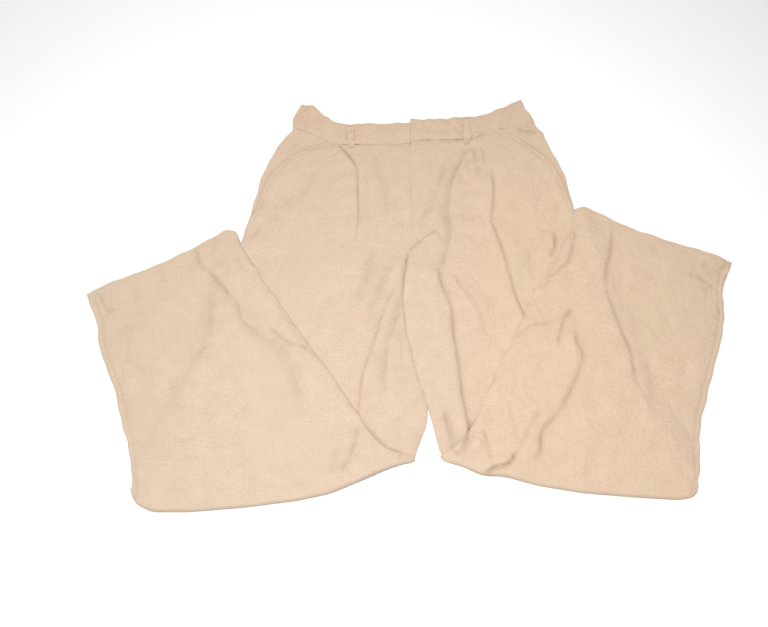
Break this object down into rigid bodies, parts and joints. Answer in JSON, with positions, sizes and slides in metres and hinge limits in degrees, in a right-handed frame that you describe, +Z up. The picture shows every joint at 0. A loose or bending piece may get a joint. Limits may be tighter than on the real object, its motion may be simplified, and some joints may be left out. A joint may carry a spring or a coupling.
{
  "type": "wide-leg pants",
  "caption": "Wide-leg linen pants laid out front side up, with each leg folded up at the knee over its own front.",
  "frame": {"origin": "on the surface the pants lie on, under the centre of their bounding box", "axes": "+Z up, +Y from the knees towards the waist, +X towards the wearer's left side"},
  "size_m": [1.0056, 0.7111, 0.0138],
  "materials": {
    "linen": "matt plain-weave linen, natural beige"
  },
  "bodies": {
    "root": {"front_right": "linen", "front_left": "linen", "back_right": "linen", "back_left": "linen", "pocket_facing_right": "linen", "pocket_facing_left": "linen", "waistband_front_right": "linen", "waistband_front_left": "linen", "waistband_back": "linen", "belt_loop_front_right": "linen", "belt_loop_front_left": "linen"}
  },
  "joints": []
}
